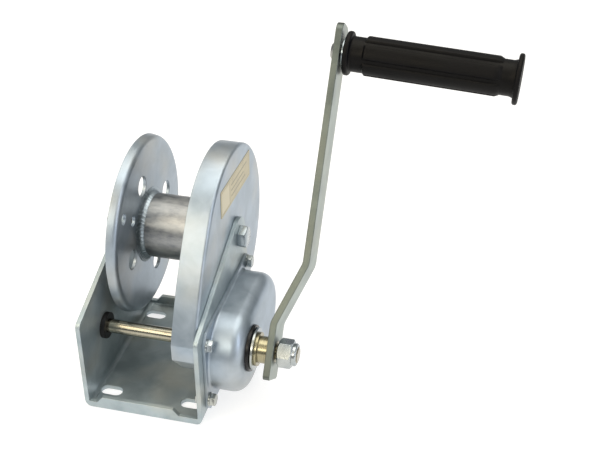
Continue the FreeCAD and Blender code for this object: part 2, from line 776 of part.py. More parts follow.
def build_axle_nut():
    right = -half_width - axle_washer_thickness
    nut = hexagon(right - axle_nut_height, right, axle_head_flats, DRUM, 5)
    return nut.cut(rod(right - axle_nut_height - 1, right + 1, axle_diameter, DRUM))


# ---------------------------------------------------------------- pinion shaft
def build_pinion_shaft():
    shaft = rod(shaft_left, pinion_right, shaft_diameter, SHAFT)
    shaft = shaft.fuse(rod(pinion_right, disc_right, brake_seat_diameter, SHAFT))
    shaft = shaft.fuse(chamfer_rod(disc_right, shaft_right, thread_diameter, thread_pitch / 2, SHAFT))
    groove_right = -half_width - end_float
    groove_left = groove_right - clip_thickness
    groove = tube(groove_left, groove_right, shaft_diameter + 1, shaft_diameter - 2 * clip_groove, SHAFT)
    return shaft.removeSplitter().cut(groove)


def build_shaft_clip():
    """Spring clip in the groove outside the left wall, open towards the front."""
    right = -half_width - end_float
    clip = tube(right - clip_thickness, right, clip_outer, shaft_diameter - 2 * clip_groove, SHAFT)
    gap = shaft_diameter / 2 - clip_groove
    left = right - clip_thickness
    return clip.cut(box(left - 1, right + 1, shaft_y - clip_outer, shaft_y, shaft_z - gap, shaft_z + gap))


def build_flanged_bush(seat, direction, body, flange, thickness, far_face, bore):
    """Bush whose flange lies on seat and whose body goes through to far_face."""
    head_end = seat - direction * thickness
    head = tube(min(seat, head_end), max(seat, head_end), flange, bore, SHAFT)
    shank = tube(min(seat, far_face), max(seat, far_face), body, bore, SHAFT)
    return head.fuse(shank).removeSplitter()


# ---------------------------------------------------------------- brake
def build_ratchet_wheel():
    """Saw teeth: each steep face holds the load, each slope lifts the pawl."""
    step = 360 / ratchet_teeth
    root = ratchet_tip_radius - ratchet_tooth_depth
    points = []
    for k in range(ratchet_teeth):
        face = pawl_contact_angle + k * step
        points.append(vec(ratchet_left, *polar(SHAFT, ratchet_tip_radius, face)))
        points.append(vec(ratchet_left, *polar(SHAFT, root, face)))
    points.append(points[0])
    wheel = Part.Face(Part.makePolygon(points)).extrude(vec(ratchet_thickness, 0, 0))
    return wheel.cut(rod(ratchet_left - 1, ratchet_right + 1, ratchet_bush_outer + 2 * running_fit, SHAFT))


def build_pawl():
    """Strut from its pin to the load-holding face of one tooth."""
    step = 360 / ratchet_teeth
    root = ratchet_tip_radius - ratchet_tooth_depth
    turn_gap = math.degrees(pawl_gap / root)
    nose_low = polar(SHAFT, root + pawl_gap, pawl_contact_angle + turn_gap)
    clear = ratchet_tip_radius + pawl_gap + pawl_tip_room
    over_tip = polar(SHAFT, clear, pawl_contact_angle + step + turn_gap)
    nose_high = polar(SHAFT, root + pawl_gap + pawl_nose_width, pawl_contact_angle + turn_gap)
    eye_inner = touch(over_tip, PAWL, pawl_eye_radius, 1)
    eye_outer = touch(nose_high, PAWL, pawl_eye_radius, -1)
    x = ratchet_left
    edges = [
        line(x, eye_inner, over_tip),
        line(x, over_tip, nose_low),
        line(x, nose_low, nose_high),
        line(x, nose_high, eye_outer),
        arc(x, eye_outer, PAWL, eye_inner),
    ]
    pawl = Part.Face(Part.Wire(edges)).extrude(vec(ratchet_thickness, 0, 0))
    return pawl.cut(rod(x - 1, ratchet_right + 1, pawl_pin_diameter + 2 * running_fit, PAWL))


def build_pawl_pin():
    """Shouldered pin, riveted flush in the wall, with a head over the pawl."""
    head_left = ratchet_right + end_float
    pin = rod(wall_in, head_left, pawl_pin_diameter, PAWL)
    return pin.fuse(rod(head_left, head_left + pawl_pin_head_height, pawl_pin_head, PAWL)).removeSplitter()


def build_pawl_spring():
    """Torsion spring round the pawl's sleeve, one leg on the wall side and one along the pawl."""
    height = ratchet_left - half_width - spring_wire - 2 * spring_end_gap
    helix = Part.makeHelix(height / spring_coils, height, spring_mean_radius)
    section = Part.Wire(Part.makeCircle(spring_wire / 2, vec(spring_mean_radius, 0, 0), vec(0, 1, 0)))
    coil = Part.Wire(helix.Edges).makePipeShell([section], True, True)
    leg_low = Part.makeCylinder(spring_wire / 2, spring_leg, vec(spring_mean_radius, 0, 0), vec(0, -1, 0))
    leg_start = vec(spring_mean_radius, 0, height)
    leg_high = Part.makeCylinder(spring_wire / 2, spring_leg, leg_start, vec(0, 1, 0))
    spring = coil.fuse(leg_low).fuse(leg_high)
    # local Z becomes X, local X becomes Y, local Y becomes Z
    turn = FreeCAD.Rotation(vec(0, 1, 0), vec(0, 0, 1), vec(1, 0, 0), "ZXY")
    start = half_width + spring_wire / 2 + spring_end_gap
    spring.Placement = FreeCAD.Placement(vec(start, *PAWL), turn)
    return spring


def build_brake_hub():
    """Threaded hub: its flange presses the outer disc, its spigot carries the crank arm."""
    hub = rod(hub_left, hub_left + hub_flange_thickness, hub_flange_outer, SHAFT)
    hub = hub.fuse(rod(hub_left, arm_left, hub_outer, SHAFT))
    hub = hub.fuse(rod(hub_ring_right, hub_ring_right + hub_collar_thickness, hub_collar_outer, SHAFT))
    hub = hub.fuse(rod(arm_left, arm_right, hub_spigot, SHAFT)).removeSplitter()
    return hub.cut(rod(hub_left - 1, arm_right + 1, thread_diameter + 2 * running_fit, SHAFT))


def build_lock_nut():
    """Hexagon nut with a round collar that holds a nylon ring."""
    collar_left = nut_right - lock_nut_collar
    body = hexagon(nut_left, collar_left, lock_nut_flats, SHAFT, lock_nut_turn)
    collar = rod(collar_left - 1, nut_right, lock_nut_collar_outer, SHAFT)
    rim = [edge for edge in collar.Edges
           if edge.BoundBox.XMin > nut_right - 0.01 and edge.BoundBox.YLength > lock_nut_collar_outer - 1]
    body = body.fuse(collar.makeFillet(lock_nut_collar_round, rim)).removeSplitter()
    return body.cut(rod(nut_left - 1, nut_right + 1, thread_diameter, SHAFT))


# ---------------------------------------------------------------- crank and handle
def lean(shape):
    """From the upright crank, with its shaft on the X axis, to the crank's real place."""
    shape = shape.copy()
    shape.rotate(vec(0, 0, 0), vec(1, 0, 0), -crank_lean)
    shape.translate(vec(0, *SHAFT))
    return shape


def droop(shape):
    """Tilt a handle piece about the point where the pin leaves the arm."""
    shape = shape.copy()
    shape.rotate(vec(handle_root, 0, crank_radius), vec(0, 1, 0), handle_droop)
    return shape


def build_crank_arm():
    """Flat bar with two bends; built upright, then leant back."""
    outward = math.atan2(arm_offset, arm_bend_end - arm_bend_start)
    mitre = arm_thickness * math.tan(outward / 2)
    low = -arm_end
    high = crank_radius + arm_end
    far = arm_left + arm_offset
    outline = [(arm_left, low), (arm_right, low), (arm_right, arm_bend_start - mitre / 2),
               (far + arm_thickness, arm_bend_end - mitre / 2), (far + arm_thickness, high),
               (far, high), (far, arm_bend_end + mitre / 2), (arm_left, arm_bend_start + mitre / 2)]
    outside = arm_bend_inside + arm_thickness
    radii = [0, 0, arm_bend_inside, outside, 0, 0, arm_bend_inside, outside]
    bar = rounded(outline, radii, lambda a, b: vec(a, -arm_width / 2, b)).extrude(vec(0, arm_width, 0))
    plan = [(-arm_width / 2, low), (arm_width / 2, low), (arm_width / 2, high), (-arm_width / 2, high)]
    corners = [arm_low_corner, arm_low_corner, arm_high_corner, arm_high_corner]
    blank = rounded(plan, corners, lambda a, b: vec(arm_left - 5, a, b))
    bar = bar.common(blank.extrude(vec(arm_offset + arm_thickness + 10, 0, 0)))
    bar = bar.cut(rod(arm_left - 1, arm_right + 1, hub_spigot, (0, 0)))
    hole = rod(far - 5, far + arm_thickness + 5, pin_diameter, (0, crank_radius))
    return lean(bar.cut(droop(hole)))


def build_handle_pin():
    """Pin riveted at the back of the arm, with a head inside the grip's outer end."""
    head_left = grip_left + grip_length - grip_tube_end + pin_head_gap
    rivet_right = handle_root - arm_thickness - pin_rivet_gap
    centre = (0, crank_radius)
    pin = rod(rivet_right - 1, head_left + 1, pin_diameter, centre)
    pin = pin.fuse(rod(head_left, head_left + pin_head_height, pin_head, centre))
    rivet = Part.makeCone(pin_rivet / 2 - pin_rivet_taper, pin_rivet / 2, pin_rivet_height,
                          vec(rivet_right - pin_rivet_height, *centre), vec(1, 0, 0))
    return lean(droop(pin.fuse(rivet).removeSplitter()))


def build_handle_washer():
    centre = (0, crank_radius)
    left = handle_root + arm_to_washer
    return lean(droop(tube(left, left + handle_washer_thickness, handle_washer_outer,
                           pin_diameter + 2 * running_fit, centre)))


def build_grip_tube():
    centre = (0, crank_radius)
    tube_right = grip_left + grip_length - grip_tube_end
    return lean(droop(tube(grip_left + grip_tube_start, tube_right, grip_tube_outer,
                           pin_diameter + 2 * running_fit, centre)))


def build_grip():
    """Rubber sleeve: a flange at each end, plain necks and raised panels between grooves."""
    centre = (0, crank_radius)
    end = grip_left + grip_length
    inner_neck = grip_left + grip_flange_thickness + grip_neck_length
    outer_neck = end - grip_end_thickness - grip_neck_length
    flange = rod(grip_left, grip_left + grip_flange_thickness, grip_flange, centre)
    flange = flange.makeFillet(grip_flange_thickness * grip_rounding, round_edges(flange))
    cap = rod(end - grip_end_thickness, end, grip_end_flange, centre)
    cap = cap.makeFillet(grip_end_thickness * grip_rounding, round_edges(cap))
    panels = rod(inner_neck, outer_neck, grip_panel, centre)
    panels = panels.makeFillet((grip_panel - grip_neck) * grip_rounding, round_edges(panels))
    for k in range(grip_grooves):
        groove = box(inner_neck - 1, outer_neck + 1, -grip_groove_width / 2, grip_groove_width / 2,
                     crank_radius + grip_neck / 2 - grip_groove_under, crank_radius + grip_panel)
        groove.rotate(vec(0, *centre), vec(1, 0, 0), 360 / grip_grooves * (k + 0.5))
        panels = panels.cut(groove)
    body = rod(grip_left + 1, end - 1, grip_neck, centre).fuse([flange, cap, panels])
    body = body.cut(rod(grip_left - 1, end - grip_tube_end, grip_tube_outer, centre))
    room = end - grip_end_wall
    return lean(droop(body.cut(rod(end - grip_tube_end - 1, room, pin_head + 1, centre))))


def round_edges(shape):
    return [edge for edge in shape.Edges if edge.BoundBox.XLength < 0.01]


# ---------------------------------------------------------------- bracket and covers
os.makedirs("parts", exist_ok=True)
save("frame_bracket", build_frame_bracket())
save("gear_cover", build_gear_cover())
save("data_label", build_data_label())
save("brake_cover", build_brake_cover())
save("cover_bolts", build_cover_bolts())
save("cover_washers", build_cover_washers())
save("cover_nuts", build_cover_nuts())
save("cover_seal", build_cover_seal())

# ---------------------------------------------------------------- drum and its axle
save("drum_tube", tube(flange_right, gear_left, drum_tube_outer, drum_tube_outer - 2 * drum_tube_wall, DRUM))
save("drum_flange", build_drum_flange())
save("flange_weld", build_weld(flange_right, 1))
save("gear_weld", build_weld(gear_left, -1))
save("drum_gear", build_drum_gear())
save("drum_bush_left", build_drum_bush(flange_left, -1, -wall_in))
save("drum_bush_right", build_drum_bush(gear_right, 1, pan_inside))
save("drum_axle", build_drum_axle())
save("axle_sleeve", tube(-wall_in, pan_inside, axle_sleeve_outer,
                         axle_diameter + 2 * sleeve_clearance, DRUM))
save("axle_washer", tube(-half_width - axle_washer_thickness, -half_width, axle_washer_outer,
                         axle_diameter + 2 * axle_clearance, DRUM))
save("axle_nut", build_axle_nut())

# ---------------------------------------------------------------- pinion shaft
save("pinion_shaft", build_pinion_shaft())
save("pinion", gear(pinion_teeth, pinion_left, pinion_right, SHAFT, mesh_angle + 180 / pinion_teeth).cut(
    rod(pinion_left - 1, pinion_right + 1, shaft_diameter, SHAFT)))
save("bush_left", build_flanged_bush(-wall_in, -1, bush_body, bush_flange, bush_flange_thickness, -half_width,
                                     shaft_diameter + 2 * running_fit))
save("bush_right", build_flanged_bush(pan_inside, 1, right_bush_body, right_bush_flange,
                                      right_bush_flange_thickness, half_width + right_bush_proud,
                                      brake_seat_diameter + 2 * running_fit))
save("thrust_washer", tube(pinion_right, pinion_right + thrust_washer_thickness, thrust_washer_outer,
                           brake_seat_diameter, SHAFT))
save("shaft_clip", build_shaft_clip())

# ---------------------------------------------------------------- brake
save("inner_disc", tube(disc_left, disc_right, disc_outer, brake_seat_diameter, SHAFT))
save("inner_lining", tube(disc_right, inner_lining_right, lining_outer, lining_inner, SHAFT))
save("ratchet_bush", tube(disc_right, ratchet_right, ratchet_bush_outer, thread_diameter, SHAFT))
save("ratchet_wheel", build_ratchet_wheel())
save("outer_lining", tube(outer_lining_left, outer_disc_left, lining_outer, lining_inner, SHAFT))
save("outer_disc", tube(outer_disc_left, outer_disc_right, disc_outer, thread_diameter + 2 * running_fit,
                        SHAFT))
save("pawl", build_pawl())
save("pawl_pin", build_pawl_pin())
save("pawl_sleeve", tube(half_width, ratchet_left - end_float, pawl_sleeve_outer, pawl_pin_diameter, PAWL))
save("pawl_spring", build_pawl_spring())

# ---------------------------------------------------------------- crank and handle
save("brake_hub", build_brake_hub())
save("hub_ring", tube(hub_ring_left, hub_ring_right, hub_ring_outer, hub_outer, SHAFT))
save("crank_arm", build_crank_arm())
save("lock_nut", build_lock_nut())
save("handle_pin", build_handle_pin())
save("handle_washer", build_handle_washer())
save("grip_tube", build_grip_tube())
save("grip", build_grip())
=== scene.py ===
# %% [markdown]
# # Boat trailer winch
#
# The winch is a bent steel bracket with a rope drum, a gear under a pressed cover, a screw brake under a
# second domed cover and a cranked handle. Almost all of it is zinc plated steel, so the lesson is mostly
# about metal: small rounded edges that catch the light, and a plating that is never one even grey. The
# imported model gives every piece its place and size. This script gives each piece its edges and its finish.

import json
import math

import bmesh
import bpy
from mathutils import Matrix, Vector, noise


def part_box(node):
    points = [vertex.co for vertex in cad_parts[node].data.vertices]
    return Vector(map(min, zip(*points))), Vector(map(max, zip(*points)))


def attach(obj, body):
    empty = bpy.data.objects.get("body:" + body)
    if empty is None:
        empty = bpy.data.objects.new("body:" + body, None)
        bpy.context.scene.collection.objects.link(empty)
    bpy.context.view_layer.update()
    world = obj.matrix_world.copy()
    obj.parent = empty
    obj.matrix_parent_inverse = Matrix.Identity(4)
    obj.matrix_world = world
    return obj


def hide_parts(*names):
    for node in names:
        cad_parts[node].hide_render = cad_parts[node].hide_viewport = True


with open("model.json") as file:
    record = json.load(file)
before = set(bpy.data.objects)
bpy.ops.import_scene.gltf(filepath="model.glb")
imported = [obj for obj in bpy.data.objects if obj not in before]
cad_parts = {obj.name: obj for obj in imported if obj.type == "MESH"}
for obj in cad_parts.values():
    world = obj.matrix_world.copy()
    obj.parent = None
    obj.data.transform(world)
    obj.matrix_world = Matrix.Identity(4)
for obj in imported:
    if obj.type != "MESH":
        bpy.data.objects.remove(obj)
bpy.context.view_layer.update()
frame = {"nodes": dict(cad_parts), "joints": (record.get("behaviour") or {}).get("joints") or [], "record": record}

# %% [markdown]
# Everything is in metres, so one name turns millimetres into metres. Colours are written as the hex values
# that a paint chart or a picture editor shows, and one function turns them into the linear numbers that the
# shaders use.

# %% Units and colours
MM = 0.001


def linear(colour):
    """An sRGB hex colour as the linear colour of a socket."""
    parts = [int(colour[k:k + 2], 16) / 255 for k in (1, 3, 5)]
    return tuple(v / 12.92 if v <= 0.04045 else ((v + 0.055) / 1.055) ** 2.4 for v in parts) + (1.0,)


print("mid grey in linear light:", [round(v, 3) for v in linear("#808080")])

# %% [markdown]
# A material is a small network of nodes. One helper adds a node with its settings, values and links, so
# that each finish below reads as a list of what it is made of.

# %% A helper for node networks
def add(tree, kind, sockets=None, stops=None, **settings):
    """Add one node. A socket is given a value, or the output of another node; stops fill a colour ramp."""
    node = tree.nodes.new(kind)
    for name, value in settings.items():
        setattr(node, name, value)
    for name, value in (sockets or {}).items():
        if isinstance(value, bpy.types.NodeSocket):
            tree.links.new(value, node.inputs[name])
        else:
            node.inputs[name].default_value = value
    for k, (place, colour) in enumerate(stops or ()):
        if k >= len(node.color_ramp.elements):
            node.color_ramp.elements.new(place)
        node.color_ramp.elements[k].position = place
        node.color_ramp.elements[k].color = linear(colour)
    return node


def start_finish(slot, values):
    """A new material: its node tree, its shader with plain values set on it, and the piece's coordinates."""
    material = bpy.data.materials.new(slot)
    material.use_nodes = True
    tree = material.node_tree
    shader = tree.nodes["Principled BSDF"]
    for name, value in values.items():
        shader.inputs[name].default_value = value
    place = add(tree, "ShaderNodeTexCoord").outputs["Object"]
    return material, tree, shader, place


finish = {}

# %% [markdown]
# ## The plated steel
#
# Bright zinc plating with a clear blue passivate is on most of the winch. It is thin, so the sheet's own
# surface shows through: rolled sheet is a little grainy, and a pressed cover is smoother where the die
# rubbed it. The blue tint is never even, and it turns to straw where the rinse stood longer. A flat grey
# metal would look like plastic. So there are three patterns: clouds of tint a few centimetres wide, a straw
# bloom here and there, and a fine grain in both the roughness and the height.

# %% Zinc plating
CLOUD = 26 * MM        # width of a patch of tint
BLOOM = 55 * MM        # width of a straw coloured patch


def plate_with_zinc(slot, dark, light, straw, rough, grain, relief, bloom=0.3, metallic=1.0):
    """Zinc electroplate. rough is the range of roughness, grain the grain's size and relief its height."""
    material, tree, shader, place = start_finish(slot, {"Metallic": metallic})
    cloud = add(tree, "ShaderNodeTexNoise",
                {"Vector": place, "Scale": 1 / CLOUD, "Detail": 4.0, "Roughness": 0.55, "Distortion": 0.4})
    tint = add(tree, "ShaderNodeValToRGB", {"Fac": cloud.outputs["Fac"]}, stops=[(0.34, dark), (0.66, light)])
    patch = add(tree, "ShaderNodeTexNoise", {"Vector": place, "Scale": 1 / BLOOM, "Detail": 2.0})
    strength = add(tree, "ShaderNodeMapRange",
                   {"Value": patch.outputs["Fac"], "From Min": 0.48, "From Max": 0.72, "To Max": bloom})
    colour = add(tree, "ShaderNodeMixRGB",
                 {"Fac": strength.outputs["Result"], "Color1": tint.outputs["Color"],
                  "Color2": linear(straw)})
    tree.links.new(colour.outputs["Color"], shader.inputs["Base Color"])
    grit = add(tree, "ShaderNodeTexNoise",
               {"Vector": place, "Scale": 1 / grain, "Detail": 3.0, "Roughness": 0.6})
    blend = add(tree, "ShaderNodeMath", {0: grit.outputs["Fac"], 1: cloud.outputs["Fac"]}, operation="ADD")
    shine = add(tree, "ShaderNodeMapRange",
                {"Value": blend.outputs["Value"], "From Min": 0.7, "From Max": 1.3,
                 "To Min": rough[0], "To Max": rough[1]})
    tree.links.new(shine.outputs["Result"], shader.inputs["Roughness"])
    bump = add(tree, "ShaderNodeBump", {"Height": grit.outputs["Fac"], "Distance": relief, "Strength": 0.5})
    tree.links.new(bump.outputs["Normal"], shader.inputs["Normal"])
    return material


# 4 mm hot rolled sheet keeps its mill grain under a cloudy film, which scatters some of the light
finish["zinc_sheet"] = plate_with_zinc("zinc_sheet", "#97A4AA", "#B4C0C4", "#B5AE9A", (0.36, 0.50),
                                       grain=0.7 * MM, relief=0.03 * MM, bloom=0.45, metallic=0.72)
# deep drawn covers and the drum flange were polished by the die: lighter and smoother, with less film
finish["zinc_pressed"] = plate_with_zinc("zinc_pressed", "#929FAB", "#ACB8C4", "#BDB6A6", (0.32, 0.44),
                                         grain=0.5 * MM, relief=0.015 * MM, bloom=0.4, metallic=0.78)
# barrel plated screws and nuts are the brightest
finish["zinc_fastener"] = plate_with_zinc("zinc_fastener", "#8D979E", "#B9C0C4", "#C6BC9C", (0.18, 0.30),
                                          grain=0.4 * MM, relief=0.005 * MM, bloom=0.45)
# the crank's flat bar is cold drawn: greyer, with a green cast
finish["zinc_bar"] = plate_with_zinc("zinc_bar", "#89928F", "#A6AFAA", "#A09C88", (0.34, 0.46),
                                     grain=0.6 * MM, relief=0.02 * MM)


def paint_shade_on_narrow_faces(material, shade):
    """Painted shade: multiply a bar's colour by shade on its narrow faces, so they look turned from the light. Its
    wide faces look along X.
    """
    tree = material.node_tree
    base = tree.nodes["Principled BSDF"].inputs["Base Color"]
    facing = add(tree, "ShaderNodeSeparateXYZ", {"Vector": add(tree, "ShaderNodeTexCoord").outputs["Normal"]})
    wide = add(tree, "ShaderNodeMath", {0: facing.outputs["X"]}, operation="ABSOLUTE")
    # the narrow faces get the painted shade, the wide faces keep their colour
    amount = add(tree, "ShaderNodeValToRGB", {"Fac": wide.outputs["Value"]},
                 stops=[(0.55, shade), (0.8, "#FFFFFF")])
    colour = add(tree, "ShaderNodeMixRGB", {"Fac": 1.0, "Color1": base.links[0].from_socket,
                                            "Color2": amount.outputs["Color"]}, blend_type="MULTIPLY")
    tree.links.new(colour.outputs["Color"], base)


# painted shade: the bar's narrow faces are darkened as if turned from the light
paint_shade_on_narrow_faces(finish["zinc_bar"], "#B0B0AE")
print("plated finishes:", sorted(finish))

# %% [markdown]
# ## The bare and oiled steels
#
# The drum tube is plated over a darker, scaled tube that the rope rubs along its length. The shaft is
# ground and polished, and its marks run round it. Turned pieces have the cutter's rings, and the gears are
# cut steel with an oil film. On all of them the marks have a direction, which a round noise can't give. So
# the coordinates are stretched before they reach the noise: long one way and short the other.

# %% Steels with a direction
def steel(slot, dark, light, rough, stretch, relief):
    """Steel whose marks are stretch long in X, Y and Z."""
    material, tree, shader, place = start_finish(slot, {"Metallic": 1.0})
    along = add(tree, "ShaderNodeVectorMath", {0: place, 1: tuple(1 / size for size in stretch)},
                operation="MULTIPLY")
    marks = add(tree, "ShaderNodeTexNoise",
                {"Vector": along.outputs["Vector"], "Scale": 1.0, "Detail": 3.0, "Roughness": 0.6})
    cloud = add(tree, "ShaderNodeTexNoise", {"Vector": place, "Scale": 1 / CLOUD, "Detail": 3.0})
    mixed = add(tree, "ShaderNodeMixRGB",
                {"Fac": 0.5, "Color1": marks.outputs["Fac"], "Color2": cloud.outputs["Fac"]})
    tint = add(tree, "ShaderNodeValToRGB", {"Fac": mixed.outputs["Color"]},
               stops=[(0.36, dark), (0.64, light)])
    tree.links.new(tint.outputs["Color"], shader.inputs["Base Color"])
    shine = add(tree, "ShaderNodeMapRange",
                {"Value": mixed.outputs["Color"], "From Min": 0.35, "From Max": 0.65,
                 "To Min": rough[0], "To Max": rough[1]})
    tree.links.new(shine.outputs["Result"], shader.inputs["Roughness"])
    bump = add(tree, "ShaderNodeBump", {"Height": marks.outputs["Fac"], "Distance": relief, "Strength": 0.4})
    tree.links.new(bump.outputs["Normal"], shader.inputs["Normal"])
    return material


# drawn tube under thin zinc, rubbed along its length
finish["drum_steel"] = steel("drum_steel", "#7F8286", "#B4B5B5", (0.30, 0.48),
                             stretch=(9 * MM, 4 * MM, 4 * MM), relief=0.02 * MM)
# the welds were plated with the drum, but their skin stays dull
finish["weld_metal"] = steel("weld_metal", "#8C99A3", "#B9C4CC", (0.30, 0.46),
                             stretch=(2 * MM, 2 * MM, 2 * MM), relief=0.05 * MM)
finish["gear_steel"] = steel("gear_steel", "#6A6A68", "#93928D", (0.28, 0.42),
                             stretch=(6 * MM, 0.8 * MM, 0.8 * MM), relief=0.02 * MM)
# rings from the lathe: short along the axis, long round it
finish["turned_steel"] = steel("turned_steel", "#8C8B87", "#B5B4AF", (0.22, 0.34),
                               stretch=(0.4 * MM, 9 * MM, 9 * MM), relief=0.02 * MM)
# ground and polished: almost a mirror, a little yellow from its oil
finish["ground_shaft"] = steel("ground_shaft", "#8B8778", "#AEA998", (0.12, 0.2),
                               stretch=(0.3 * MM, 12 * MM, 12 * MM), relief=0.003 * MM)
finish["spring_steel"] = steel("spring_steel", "#4E4F51", "#77787A", (0.25, 0.38),
                               stretch=(1 * MM, 1 * MM, 1 * MM), relief=0.01 * MM)
finish["bronze"] = steel("bronze", "#8A6234", "#B98A4E", (0.26, 0.38),
                         stretch=(0.4 * MM, 8 * MM, 8 * MM), relief=0.02 * MM)
# yellow chromate over zinc is an oil-like film: olive to brass, with the lathe's rings under it
finish["yellow_zinc"] = steel("yellow_zinc", "#857F68", "#ACA588", (0.16, 0.28),
                              stretch=(0.5 * MM, 10 * MM, 10 * MM), relief=0.01 * MM)
print("finishes so far:", len(finish))

# %% [markdown]
# ## Rubber, nylon, friction lining and the label
#
# None of these is a metal, so they keep the shader's metallic value at 0 and get their look from roughness
# and relief. The grip is moulded rubber with the fine matt skin of its spark-eroded mould. The seal is the
# same rubber, but smooth and a little oily. Nylon bushes are injection moulded.

# %% Rubber and plastics
def moulded(slot, dark, light, rough, grain, relief, values):
    """A moulded skin: nearly one colour, with a fine even texture."""
    material, tree, shader, place = start_finish(slot, values)
    skin = add(tree, "ShaderNodeTexVoronoi", {"Vector": place, "Scale": 1 / grain}, feature="SMOOTH_F1")
    cloud = add(tree, "ShaderNodeTexNoise", {"Vector": place, "Scale": 1 / CLOUD, "Detail": 4.0})
    tint = add(tree, "ShaderNodeValToRGB", {"Fac": cloud.outputs["Fac"]}, stops=[(0.35, dark), (0.65, light)])
    tree.links.new(tint.outputs["Color"], shader.inputs["Base Color"])
    shine = add(tree, "ShaderNodeMapRange",
                {"Value": cloud.outputs["Fac"], "From Min": 0.35, "From Max": 0.65,
                 "To Min": rough[0], "To Max": rough[1]})
    tree.links.new(shine.outputs["Result"], shader.inputs["Roughness"])
    bump = add(tree, "ShaderNodeBump",
               {"Height": skin.outputs["Distance"], "Distance": relief, "Strength": 0.5})
    tree.links.new(bump.outputs["Normal"], shader.inputs["Normal"])
    return material


finish["grip_rubber"] = moulded("grip_rubber", "#050508", "#09090D", (0.42, 0.56), 0.6 * MM, 0.03 * MM,
                                {"IOR": 1.52, "Specular IOR Level": 0.13, "Specular Tint": linear("#FFFAEC")})
finish["black_rubber"] = moulded("black_rubber", "#040405", "#09090B", (0.24, 0.36), 1.2 * MM, 0.01 * MM,
                                 {"IOR": 1.52, "Specular IOR Level": 0.3})
finish["black_nylon"] = moulded("black_nylon", "#050506", "#0C0C0E", (0.36, 0.48), 0.8 * MM, 0.01 * MM,
                                {"IOR": 1.53, "Specular IOR Level": 0.3})
print("moulded finishes:", ["grip_rubber", "black_rubber", "black_nylon"])

# %% [markdown]
# The brake's two linings are resin with brass chips and fibres, pressed and ground flat. A cell pattern
# places the chips: wherever a point is near enough to the middle of its cell it is brass, and the rest is
# brown resin.

# %% Friction lining
CHIP_SPACING = 1.4 * MM
CHIP_SHARE = 0.22          # radius of a chip as a share of the spacing


def friction_lining():
    material, tree, shader, place = start_finish("friction_lining", {"Roughness": 0.85, "IOR": 1.5})
    chips = add(tree, "ShaderNodeTexVoronoi", {"Vector": place, "Scale": 1 / CHIP_SPACING})
    is_chip = add(tree, "ShaderNodeMath", {0: chips.outputs["Distance"], 1: CHIP_SHARE},
                  operation="LESS_THAN")
    resin = add(tree, "ShaderNodeTexNoise", {"Vector": place, "Scale": 1 / (3 * MM), "Detail": 5.0})
    ground = add(tree, "ShaderNodeValToRGB", {"Fac": resin.outputs["Fac"]},
                 stops=[(0.3, "#2A2420"), (0.7, "#4A4038")])
    brass = linear("#9A7B42")
    colour = add(tree, "ShaderNodeMixRGB",
                 {"Fac": is_chip.outputs["Value"], "Color1": ground.outputs["Color"], "Color2": brass})
    tree.links.new(colour.outputs["Color"], shader.inputs["Base Color"])
    bump = add(tree, "ShaderNodeBump", {"Height": resin.outputs["Fac"], "Distance": 0.05 * MM})
    tree.links.new(bump.outputs["Normal"], shader.inputs["Normal"])
    return material


finish["friction_lining"] = friction_lining()
print("finishes so far:", len(finish))

# %% [markdown]
# The label is gold coloured polyester film, printed in one dark ink. The winch's own label is left blank
# here: it keeps a frame, a pale field and plain bars where words would be. The print is drawn in the
# material, in the label's own slanted directions, because ink has no thickness to model.

# %% The label's print
LABEL_LONG = 84 * MM
LABEL_HIGH = 25 * MM
LABEL_TILT = math.radians(-2.7)
PRINT_MARGIN = 1.6 * MM    # film left bare round the printed frame
LINE = 0.5 * MM
FIELD_LONG = 20 * MM       # the pale field at one end
BAR_HIGH = 1.4 * MM
BAR_PITCH = 5.2 * MM
label_low, label_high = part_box("data_label")
label_middle = (label_low + label_high) / 2


